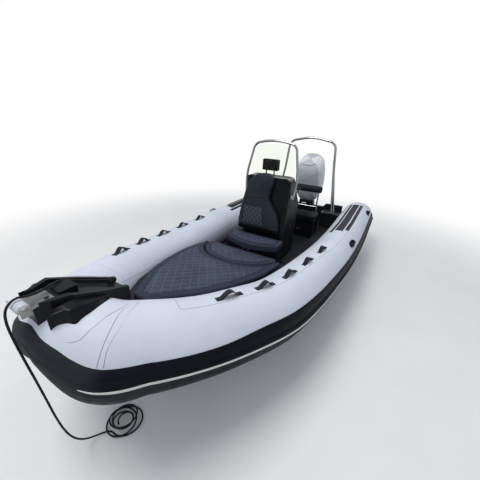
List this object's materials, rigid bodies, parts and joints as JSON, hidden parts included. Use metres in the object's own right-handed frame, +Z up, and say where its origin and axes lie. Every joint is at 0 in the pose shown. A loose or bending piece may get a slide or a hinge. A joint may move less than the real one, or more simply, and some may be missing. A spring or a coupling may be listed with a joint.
{
  "type": "inflatable rib boat",
  "caption": "Rigid-hull inflatable boat on chocks: light grey collar with dark rub band, sundeck cushions, console, helm seat, roll bar and covered tilting outboard.",
  "frame": {"origin": "on the floor, under the middle of the boat's box without the free mooring line", "axes": "+Z up, bow towards -Y, port side at +X"},
  "size_m": [2.6462, 5.8214, 2.0881],
  "materials": {
    "collar_fabric": "satin light grey coated fabric",
    "rubber_black": "matt moulded rubber and webbing",
    "stripe_cream": "satin insert strip",
    "gelcoat_dark": "dark grey gelcoat",
    "sole_grey": "non-slip deck",
    "vinyl_charcoal": "stitched marine vinyl",
    "moulded_black": "black moulding",
    "stainless": "polished stainless steel",
    "roller_pale": "ribbed pale roller",
    "screen_clear": "clear tinted acrylic",
    "engine_paint": "dark satin paint",
    "propeller_alloy": "dark painted alloy",
    "cover_cloth": "light grey cover cloth",
    "rope_black": "braided line"
  },
  "bodies": {
    "boat": {"backrest_bolster": "vinyl_charcoal", "bow_cushion": "vinyl_charcoal", "bow_deck": "gelcoat_dark", "bow_plate": "stainless", "bow_roller": "roller_pale", "bow_step": "moulded_black", "carry_grips": "rubber_black", "chocks": "rubber_black", "cockpit_sole": "sole_grey", "collar_bow": "collar_fabric", "collar_port": "collar_fabric", "collar_starboard": "collar_fabric", "console": "moulded_black", "console_backrest": "vinyl_charcoal", "console_seat_base": "moulded_black", "engine_clamp": "engine_paint", "grab_straps_port": "rubber_black", "grab_straps_starboard": "rubber_black", "helm_boss": "moulded_black", "helm_seat_box": "moulded_black", "hull": "gelcoat_dark", "infill_cushion": "vinyl_charcoal", "mooring_knot": "rope_black", "mooring_line": "rope_black", "mooring_pile": "rope_black", "plotter": "moulded_black", "rail_stripes": "stripe_cream", "roll_arch": "stainless", "rub_band_bow": "rubber_black", "rub_band_port": "rubber_black", "rub_band_starboard": "rubber_black", "screen_hoop": "stainless", "seat_fitting": "stainless", "seat_frame": "stainless", "stern_lockers": "gelcoat_dark", "throttle": "moulded_black", "transom": "gelcoat_dark", "tread_strips": "rubber_black", "tube_end_caps": "rubber_black", "windscreen": "screen_clear"},
    "console_lid": {"console_seat_cushion": "vinyl_charcoal"},
    "helm_lid": {"helm_seat_cushion": "vinyl_charcoal"},
    "wheel": {"steering_wheel": "moulded_black"},
    "swivel_bracket": {"engine_swivel": "engine_paint"},
    "engine": {"engine_leg": "engine_paint", "engine_cover": "cover_cloth", "powerhead": "engine_paint"},
    "prop": {"propeller": "propeller_alloy"}
  },
  "joints": [
    {"name": "console_lid_hinge", "type": "hinge", "parent": "boat", "child": "console_lid", "pos_m": [0, -0.521, 0.729], "axis": [1, 0, 0], "range_deg": [0, 60]},
    {"name": "helm_lid_hinge", "type": "hinge", "parent": "boat", "child": "helm_lid", "pos_m": [0, 1.024, 0.734], "axis": [1, 0, 0], "range_deg": [0, 75]},
    {"name": "engine_tilt", "type": "hinge", "parent": "boat", "child": "swivel_bracket", "pos_m": [0, 2.128, 0.8], "axis": [1, 0, 0], "range_deg": [-25, 20]},
    {"name": "engine_steer", "type": "hinge", "parent": "swivel_bracket", "child": "engine", "pos_m": [0, 2.32491, 0.67114], "axis": [0, -0.4226, 0.9063], "range_deg": [-35, 35]},
    {"name": "propeller_spin", "type": "hinge", "parent": "engine", "child": "prop", "pos_m": [0, 2.83496, 0.23041], "axis": [0, 0.9063, 0.4226], "continuous": true},
    {"name": "wheel_spin", "type": "hinge", "parent": "boat", "child": "wheel", "pos_m": [0, 0.646, 1.19], "axis": [0, -0.8829, -0.4695], "range_deg": [-722, 722]}
  ],
  "couplings": [
    {"joint": "wheel_spin", "follows": "engine_steer", "ratio": 20.6}
  ]
}
